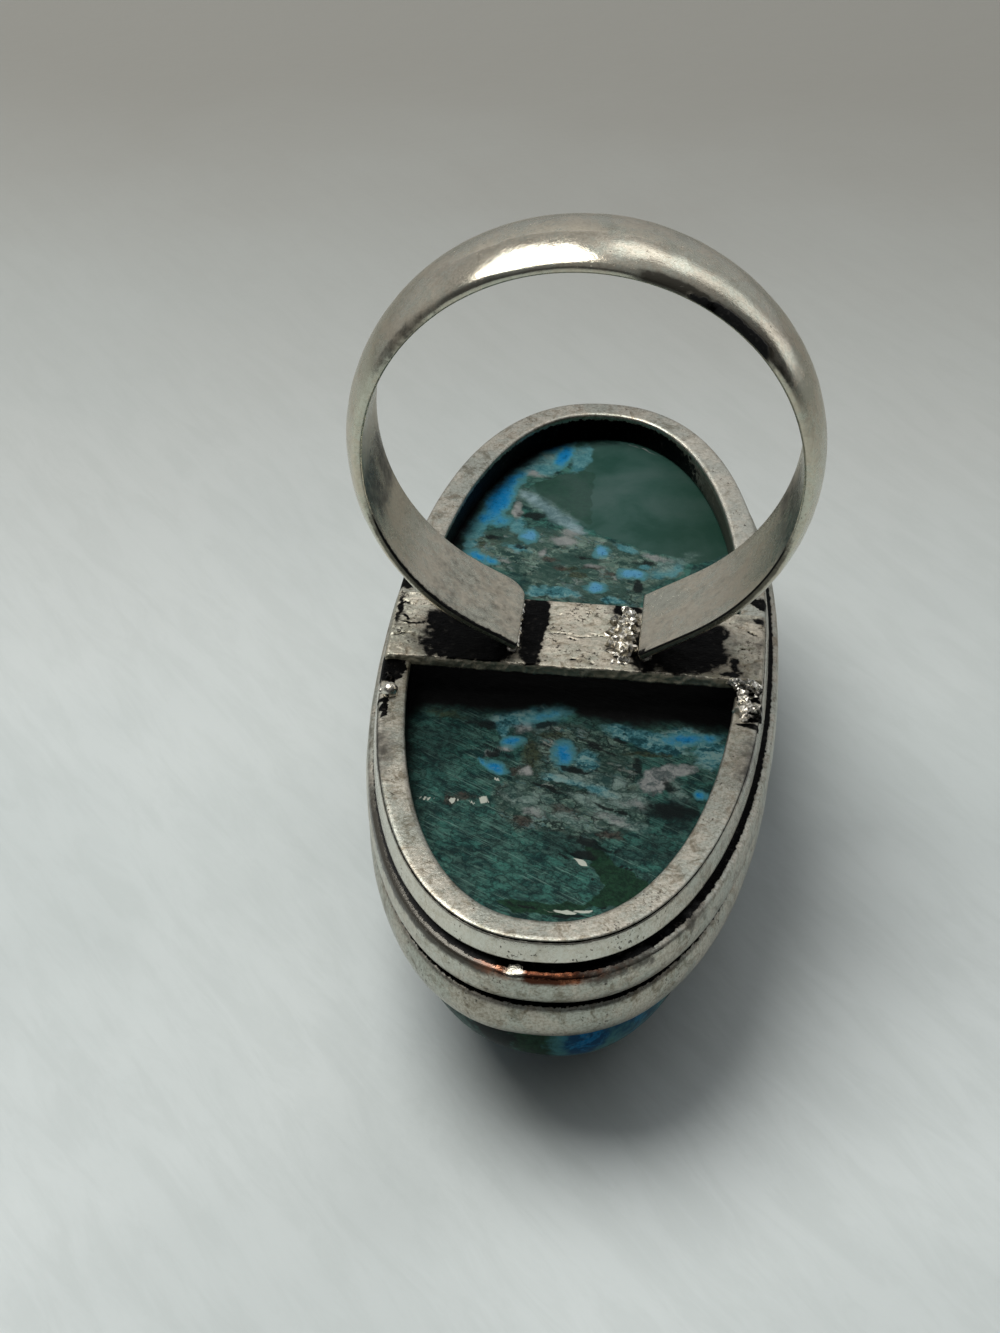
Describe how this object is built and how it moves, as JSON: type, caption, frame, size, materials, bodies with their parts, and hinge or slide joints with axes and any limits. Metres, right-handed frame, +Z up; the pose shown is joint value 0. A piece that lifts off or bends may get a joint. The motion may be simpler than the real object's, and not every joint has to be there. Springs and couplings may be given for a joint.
{
  "type": "turquoise statement ring",
  "caption": "Open-backed statement ring: a D-section band soldered to a strip across a long stepped oval setting that holds a domed blue-green stone.",
  "frame": {"origin": "centre of the stone's crown, where the ring rests on a table with its band standing up", "axes": "+Z up from the stone to the top of the band, +Y along the long side of the setting and along the finger, +X across the setting"},
  "size_m": [0.0204, 0.0422, 0.0313],
  "materials": {
    "metal": "satin",
    "stone": "satin"
  },
  "bodies": {
    "root": {"ring_mount": "metal", "stone": "stone"}
  },
  "joints": []
}
